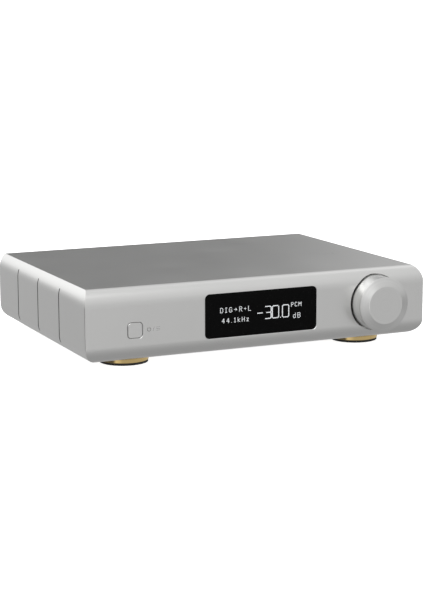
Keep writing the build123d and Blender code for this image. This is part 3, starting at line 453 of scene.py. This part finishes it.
caseSheen = {"colour": (0.80, 0.80, 0.79), "roughness": 0.24}
footReach = (
    (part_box("foot_rear_right")[0][0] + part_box("foot_rear_right")[1][0]) / 2,
    (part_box("foot_front_left")[0][1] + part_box("foot_rear_left")[1][1]) / 2,
    (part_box("foot_rear_left")[1][1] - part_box("foot_front_left")[1][1]) / 2,
)
knobLow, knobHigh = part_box("volume_knob")
knobCentre = ((knobLow[0] + knobHigh[0]) / 2, (knobLow[2] + knobHigh[2]) / 2)
plates = {
    "case_aluminium": satinAluminium("caseAluminium", **caseSheen),
    "rear_aluminium": satinAluminium("rearAluminium", (0.70, 0.70, 0.69), 0.40),
    "knob_aluminium": turnedFinish("knobAluminium", knobCentre, (0.82, 0.82, 0.81), 0.24),
    "window_glass": plainMoulding("windowGlass", (0.002, 0.002, 0.002), 0.05),
    "screen_black": plainMoulding("screenBlack", (0.004, 0.004, 0.005), 0.12),
    "circuit_board": boardFinish("circuitBoard", (0.008, 0.035, 0.09, 1), (0.02, 0.09, 0.18, 1)),
    "foot_brass": footFinish("footBrass", footReach, (0.88, 0.65, 0.29), 0.04),
    "pad_rubber": plainMoulding("padRubber", (0.010, 0.010, 0.010), 0.75, 1200.0),
    "steel": plainMoulding("zincSteel", (0.62, 0.62, 0.60), 0.30, 900.0, 1.0),
    "black_screws": plainMoulding("blackSteel", (0.05, 0.05, 0.05), 0.35, 900.0, 1.0),
    "socket_shell": plainMoulding("nickelShell", (0.60, 0.59, 0.57), 0.22, 900.0, 1.0),
    "gold_contacts": plainMoulding("goldPlate", (0.90, 0.66, 0.26), 0.16, 900.0, 1.0),
    "blade_nickel": plainMoulding("bladeNickel", (0.72, 0.71, 0.69), 0.20, 900.0, 1.0),
    "black_plastic": plainMoulding("blackPlastic", (0.025, 0.025, 0.026), 0.45),
    "rocker_plastic": plainMoulding("rockerPlastic", (0.02, 0.02, 0.021), 0.28),
    "capacitor_sleeve": plainMoulding("capacitorSleeve", (0.02, 0.02, 0.05), 0.30),
    "heatsink_black": plainMoulding("heatsinkBlack", (0.03, 0.03, 0.03), 0.50, 900.0, 1.0),
    "ribbon_grey": plainMoulding("ribbonGrey", (0.42, 0.42, 0.42), 0.50),
    "transformer_tape": tapeWound("transformerTape", (0.72, 0.45, 0.04)),
}
plates["window_glass"].set(specular_ior_level=0.03)
for entry in frame["record"]["subparts"]:
    wear(entry["node"], plates[entry["material_slot"]])
sideFinish = grooveShadedSide("grooveShadedAluminium", cuts=grooves, **caseSheen)
wear("left_side", sideFinish)
wear("right_side", sideFinish)
wear("front_button", plates["case_aluminium"])
print("finishes laid on")


# new pieces

def place(name, mesh, finish, body, slot, *replaced):
    mesh.materials.append(finish.material)
    piece = bpy.data.objects.new(name, mesh)
    bpy.context.scene.collection.objects.link(piece)
    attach(piece, body)
    if replaced:
        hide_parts(*replaced)


def closeUp(mesh, near=0.0):
    # merges points that lie together, such as the poles, and turns every face outward
    work = bmesh.new()
    work.from_mesh(mesh)
    if near:
        bmesh.ops.remove_doubles(work, verts=work.verts, dist=near)
    bmesh.ops.recalc_face_normals(work, faces=work.faces)
    work.to_mesh(mesh)
    work.free()


def softenProfile(corners, steps=6, beyond=1.25):
    # each corner c, given as (along, radius, size), becomes a short curve:
    # (1-t)^2 a + 2t(1-t) c + t^2 b, where a and b lie size away on its two edges; one more point
    # beyond each keeps the shading of the flat parts flat
    points = np.array([corner[:2] for corner in corners])
    t = np.linspace(0, 1, steps)[:, None]
    rows = []
    for i, here in enumerate(points):
        size = corners[i][2]
        if size == 0:
            rows.append(here[None])
            continue
        back = points[i - 1] - here
        ahead = points[(i + 1) % len(points)] - here
        back, ahead = back / np.linalg.norm(back), ahead / np.linalg.norm(ahead)
        a, b = here + back * size, here + ahead * size
        curve = (1 - t) ** 2 * a + 2 * t * (1 - t) * here + t ** 2 * b
        size = size * beyond
        rows += [(here + back * size)[None], curve, (here + ahead * size)[None]]
    return np.concatenate(rows)


def turnedMesh(name, profile, middle, upright, segments=160):
    # profile (along, radius) carried round its axis, upright or along Y
    turn = np.linspace(0, 2 * pi, segments, endpoint=False)
    along, radius = profile[:, :1], profile[:, 1:]
    first, second = middle[0] + radius * np.cos(turn), middle[1] + radius * np.sin(turn)
    level = along + 0 * turn
    order = (first, second, level) if upright else (first, level, second)
    mesh = gridMesh(name, np.stack(order, -1), wrapU=True, wrapV=True)
    closeUp(mesh, 0.001 * mm)
    mesh.shade_smooth()
    return mesh


knob = {
    "faceRadius": 16 * mm,
    "chamfer": 3.1 * mm,
    "edge": 0.3 * mm,
    "faceEdge": 0.35 * mm,
    "rim": 0.7 * mm,
    "rimGroove": 0.4 * mm,
    "grooveEdge": 0.05 * mm,
    "backEdge": 0.4 * mm,
    "innerEdge": 0.2 * mm,
    "segments": 240,
    "wall": 4 * mm,
    "cavity": 7 * mm,
    "hubRadius": 7 * mm,
    "hubLength": 3.6 * mm,
    "boreRadius": 3.05 * mm,
    "boreDepth": 10.05 * mm,
}


def makeKnob(sizes):
    # turned from bar: flat face, broad chamfer, fine groove behind the rim, hollow back with a
    # hub bored for the shaft
    face, back = knobLow[1], knobHigh[1]
    outer = (knobHigh[0] - knobLow[0]) / 2
    floor = back - sizes["cavity"]
    hub = floor + sizes["hubLength"]
    bore = sizes["boreRadius"]
    rim, groove = face + sizes["chamfer"] + sizes["rim"], sizes["rimGroove"]
    corners = [
        (face, 0, 0),
        (face, sizes["faceRadius"], sizes["faceEdge"]),
        (face + sizes["chamfer"], outer, sizes["edge"]),
        (rim, outer, sizes["grooveEdge"]),
        (rim, outer - groove, sizes["grooveEdge"]),
        (rim + groove, outer - groove, sizes["grooveEdge"]),
        (rim + groove, outer, sizes["grooveEdge"]),
        (back, outer, sizes["backEdge"]),
        (back, outer - sizes["wall"], sizes["innerEdge"]),
        (floor, outer - sizes["wall"], 0),
        (floor, sizes["hubRadius"], 0),
        (hub, sizes["hubRadius"], sizes["innerEdge"]),
        (hub, bore, 0),
        (floor - sizes["boreDepth"], bore, 0),
        (floor - sizes["boreDepth"], 0, 0),
    ]
    profile = softenProfile(corners)
    mesh = turnedMesh("turnedKnob", profile, knobCentre, False, sizes["segments"])
    place("turnedKnob", mesh, plates["knob_aluminium"], "knob", "knob_aluminium", "volume_knob")


foot = {
    "rimHeight": 1.3 * mm,
    "step": 0.5 * mm,
    "taper": 0.45 * mm,
    "edge": 0.3 * mm,
    "stepEdge": 0.15 * mm,
    "seatDepth": 1.0 * mm,
    "seatEdge": 0.1 * mm,
    "padGap": 0.1 * mm,
    "wellRadius": 4.5 * mm,
    "screwWeb": 2.0 * mm,
    "boreRadius": 2.1 * mm,
}


def makeFoot(node, sizes):
    # turned cup: a rim under the case, a slightly slimmer body, a seat for the pad below
    low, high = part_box(node)
    padLow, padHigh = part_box(node.replace("foot_", "foot_pad_"))
    middle = ((low[0] + high[0]) / 2, (low[1] + high[1]) / 2)
    outer = (high[0] - low[0]) / 2
    seat = (padHigh[0] - padLow[0]) / 2 + sizes["padGap"]
    waist = outer - sizes["step"]
    top, bottom, edge = high[2], low[2], sizes["edge"]
    corners = [
        (top, sizes["boreRadius"], 0),
        (top, outer, edge),
        (top - sizes["rimHeight"], outer, edge),
        (top - sizes["rimHeight"] - sizes["step"], waist, sizes["stepEdge"]),
        (bottom, waist - sizes["taper"], edge),
        (bottom, seat, sizes["seatEdge"]),
        (bottom + sizes["seatDepth"], seat, 0),
        (bottom + sizes["seatDepth"], sizes["wellRadius"], 0),
        (top - sizes["screwWeb"], sizes["wellRadius"], 0),
        (top - sizes["screwWeb"], sizes["boreRadius"], 0),
    ]
    name = "turned_" + node
    mesh = turnedMesh(name, softenProfile(corners, 5), middle, True)
    place(name, mesh, plates["foot_brass"], "root", "foot_brass", node)


makeKnob(knob)
for corner in ("front_left", "front_right", "rear_left", "rear_right"):
    makeFoot("foot_" + corner, foot)
print("knob and feet turned")


# marks drawn with strokes, each stroke a thin flat bar with square ends; a letter is its width
# and its paths, for a height of one

glyphs = {
    "-": (0.42, [[(0, 0.5), (0.42, 0.5)]]),
    "0": (0.58, [
        [(0.1, 0), (0, 0.08), (0, 0.92), (0.1, 1), (0.48, 1)]
        + [(0.58, 0.92), (0.58, 0.08), (0.48, 0), (0.1, 0)],
    ]),
    "3": (0.5, [
        [(0, 1), (0.4, 1), (0.5, 0.92), (0.5, 0.58), (0.42, 0.5), (0.1, 0.5)],
        [(0.42, 0.5), (0.5, 0.42), (0.5, 0.08), (0.4, 0), (0, 0)],
    ]),
    ".": (0.12, [[(0.06, 0), (0.07, 0)]]),
    "4": (0.62, [[(0.45, 0), (0.45, 1), (0, 0.32), (0.62, 0.32)]]),
    "1": (0.4, [[(0.05, 0.82), (0.22, 1), (0.22, 0)], [(0.02, 0), (0.4, 0)]]),
    "k": (0.5, [[(0, 0), (0, 1)], [(0.46, 0.66), (0.06, 0.32), (0.5, 0)]]),
    "H": (0.62, [[(0, 0), (0, 1)], [(0.62, 0), (0.62, 1)], [(0, 0.5), (0.62, 0.5)]]),
    "z": (0.46, [[(0, 0.66), (0.46, 0.66), (0, 0), (0.46, 0)]]),
    "D": (0.58, [[(0, 0), (0, 1), (0.4, 1), (0.58, 0.8), (0.58, 0.2), (0.4, 0), (0, 0)]]),
    "I": (0.36, [[(0, 1), (0.36, 1)], [(0.18, 1), (0.18, 0)], [(0, 0), (0.36, 0)]]),
    "G": (0.6, [
        [(0.58, 0.85), (0.45, 1), (0.14, 1), (0, 0.82), (0, 0.18)]
        + [(0.14, 0), (0.45, 0), (0.6, 0.15), (0.6, 0.45), (0.34, 0.45)],
    ]),
    ">": (0.62, [[(0, 0.5), (0.56, 0.5)], [(0.34, 0.74), (0.58, 0.5), (0.34, 0.26)]]),
    "R": (0.58, [
        [(0, 0), (0, 1), (0.45, 1), (0.58, 0.86), (0.58, 0.64), (0.45, 0.5), (0, 0.5)],
        [(0.28, 0.5), (0.6, 0)],
    ]),
    "+": (0.4, [[(0.2, 0.3), (0.2, 0.7)], [(0, 0.5), (0.4, 0.5)]]),
    "L": (0.52, [[(0, 1), (0, 0), (0.52, 0)]]),
    "P": (0.55, [
        [(0, 0), (0, 1), (0.42, 1), (0.55, 0.86), (0.55, 0.62), (0.42, 0.48), (0, 0.48)],
    ]),
    "C": (0.55, [
        [(0.55, 0.85), (0.42, 1), (0.14, 1), (0, 0.82), (0, 0.18)]
        + [(0.14, 0), (0.42, 0), (0.55, 0.15)],
    ]),
    "M": (0.7, [[(0, 0), (0, 1), (0.35, 0.45), (0.7, 1), (0.7, 0)]]),
    "d": (0.5, [[(0.5, 1), (0.5, 0), (0.12, 0), (0, 0.14), (0, 0.5), (0.12, 0.64), (0.5, 0.64)]]),
    "B": (0.58, [
        [(0, 0), (0, 1), (0.42, 1), (0.55, 0.88), (0.55, 0.64), (0.42, 0.52), (0, 0.52)],
        [(0.42, 0.52), (0.58, 0.4), (0.58, 0.12), (0.44, 0), (0, 0)],
    ]),
}


def layText(text, left, right, low, high):
    # strokes of a line of text, spread over its width, as pairs of end points
    widths = [glyphs[letter][0] for letter in text]
    height = high - low
    room = (right - left) / height - sum(widths)
    gap = room / max(len(text) - 1, 1)
    start, pieces = 0.0, []
    for letter, width in zip(text, widths):
        for path in glyphs[letter][1]:
            points = np.array(path, float) + (start, 0)
            pieces.append(np.stack([points[:-1], points[1:]], 1))
        start += width + gap
    return np.concatenate(pieces) * height + (left, low)


def strokeMesh(name, strokes, thickness, lift, depth):
    # a flat bar for each stroke: half the thickness to each side and past each end
    start, end = strokes[:, 0], strokes[:, 1]
    way = end - start
    way = way / np.maximum(np.linalg.norm(way, axis=1, keepdims=True), 1e-9)
    side = np.stack([-way[:, 1], way[:, 0]], 1) * (thickness / 2)
    way = way * (thickness / 2)
    start, end = start - way, end + way
    flat = np.stack([start - side, end - side, end + side, start + side], 1)
    front, back = lift(flat, depth), lift(flat, 0.0)
    points = np.concatenate([front, back], 1)
    count = len(points)
    faces = [(0, 1, 2, 3), (7, 6, 5, 4)]
    faces += [(i, i + 4, (i + 1) % 4 + 4, (i + 1) % 4) for i in range(4)]
    quads = (np.array(faces)[None] + 8 * np.arange(count)[:, None, None]).reshape(-1, 4)
    mesh = bpy.data.meshes.new(name)
    mesh.from_pydata(points.reshape(-1, 3).tolist(), [], quads.tolist())
    mesh.update()
    closeUp(mesh)
    return mesh


def uprightFace(originX, y, originZ):
    # flat x, z drawing on an upright face at y, raised toward the front by its depth
    def lift(flat, raised):
        x, z = flat[..., 0] + originX, flat[..., 1] + originZ
        return np.stack([x, np.full_like(x, y - raised), z], -1)

    return lift


def litDots(name, pitch):
    # white light in square dots: dark where either sine comes near its zero
    finish = Finish(name, roughness=0.4, specular_ior_level=0.1)
    x, y, z = finish.split(finish.place)
    across, up = abs((x * (pi / pitch)).sine()), abs((z * (pi / pitch)).sine())
    dot = finish.step(across.most(up), 0.12, 0.34)
    finish.set(base_color=finish.blend(dot, (0.004, 0.004, 0.004, 1), (0.3, 0.3, 0.3, 1)))
    finish.set(emission_color=finish.blend(dot, (0, 0, 0, 1), (0.93, 0.97, 1.0, 1)))
    finish.set(emission_strength=0.72)
    return finish


# a line of the readout is its text, then left, right, low and high from the window's middle, in mm
readout = {
    "dotPitch": 0.30 * mm,
    "raised": 0.04 * mm,
    "small": 0.42 * mm,
    "large": 0.74 * mm,
    "lines": [
        ("DIG>R+L", -37.3, -9.9, 2.3, 6.1),
        ("44.1kHz", -35.8, -11.8, -6.3, -2.7),
        ("PCM", 27.7, 36.9, 2.5, 5.8),
        ("dB", 29.6, 36.0, -7.2, -3.2),
    ],
    "level": [("-", -3.5, -0.6, -5.8, 4.4), ("30.0", 3.8, 25.3, -5.8, 4.4)],
}


def makeReadout(sizes):
    low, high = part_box("display_window")
    middle = (low[2] + high[2]) / 2
    face = uprightFace((low[0] + high[0]) / 2, low[1], middle)
    lit = litDots("litDots", sizes["dotPitch"])
    for name, lines, thickness in (
        ("readoutLines", sizes["lines"], sizes["small"]),
        ("readoutLevel", sizes["level"], sizes["large"]),
    ):
        strokes = np.concatenate([layText(*line) for line in lines]) * mm
        mesh = strokeMesh(name, strokes, thickness, face, sizes["raised"])
        place(name, mesh, lit, "root", "screen_black")


panelMarks = {
    "left": 10.4 * mm,  # from the middle of the button
    "size": 3.0 * mm,
    "gap": 2.0 * mm,
    "lean": 0.9 * mm,
    "line": 0.32 * mm,
    "raised": 0.02 * mm,
    "ring": (radians(125), radians(415)),
    "ringBar": (0.1, 0.62),
    "menuLevels": (-0.42, 0, 0.42),
}


def makePanelMarks(sizes):
    # pictograms beside the button: a broken ring with a bar, a slash, three short bars
    low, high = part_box("front_button")
    left = (low[0] + high[0]) / 2 + sizes["left"]
    face = uprightFace(left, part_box("front_panel")[0][1], (low[2] + high[2]) / 2)
    size, gap, lean = sizes["size"], sizes["gap"], sizes["lean"]
    turn = np.linspace(*sizes["ring"], 25)
    ring = np.stack([size / 2 + size / 2 * np.cos(turn), size / 2 * np.sin(turn)], 1)
    barLow, barHigh = sizes["ringBar"]
    bars = [(size / 2, barLow * size, size / 2, barHigh * size)]
    slash = size + gap
    bars.append((slash, -size / 2, slash + lean, size / 2))
    menu = slash + gap + lean
    bars += [(menu, up * size, menu + size, up * size) for up in sizes["menuLevels"]]
    arcs = np.stack([ring[:-1], ring[1:]], 1)
    strokes = np.concatenate([arcs, np.array(bars).reshape(-1, 2, 2)])
    ink = plainMoulding("greyInk", (0.19, 0.19, 0.19), 0.55)
    mesh = strokeMesh("panelMarks", strokes, sizes["line"], face, sizes["raised"])
    place("panelMarks", mesh, ink, "root", "case_aluminium")


rockerMarks = {
    "tilt": radians(8),
    "proud": 2.6 * mm,
    "waist": 1.0 * mm,
    "half": 6.8 * mm,
    "size": 2.6 * mm,
    "line": 0.4 * mm,
    "raised": 0.03 * mm,
}


def makeRockerMarks(sizes):
    # a bar on the upper slope of the rocker and a ring on the lower one
    joint = next(one for one in frame["joints"] if one["name"] == "rocker_tilt")
    pivot = np.array(joint["pos_m"])
    tilt = sizes["tilt"]
    outward, upward = np.array([0, cos(tilt), sin(tilt)]), np.array([0, -sin(tilt), cos(tilt)])
    turn = np.linspace(0, 2 * pi, 25)
    size = sizes["size"]
    ring = size / 2 * np.stack([np.cos(turn), np.sin(turn)], 1)
    drawn = {
        1: np.array([[(0, -size / 2), (0, size / 2)]]),
        -1: np.stack([ring[:-1], ring[1:]], 1),
    }
    ink = plainMoulding("whiteInk", (0.78, 0.78, 0.76), 0.5)
    for side, strokes in drawn.items():
        slope = outward * (sizes["proud"] - sizes["waist"]) + upward * (side * sizes["half"])
        middle = pivot + outward * sizes["waist"] + slope / 2
        slope = slope / np.linalg.norm(slope) * side
        normal = np.cross((-1, 0, 0), slope)

        def lift(flat, raised):
            return middle + flat[..., :1] * (-1, 0, 0) + flat[..., 1:] * slope + raised * normal

        name = "rockerMarkUpper" if side > 0 else "rockerMarkLower"
        mesh = strokeMesh(name, strokes, sizes["line"], lift, sizes["raised"])
        place(name, mesh, ink, "rocker", "rocker_plastic")


makeReadout(readout)
makePanelMarks(panelMarks)
makeRockerMarks(rockerMarks)
print("readout and marks drawn")
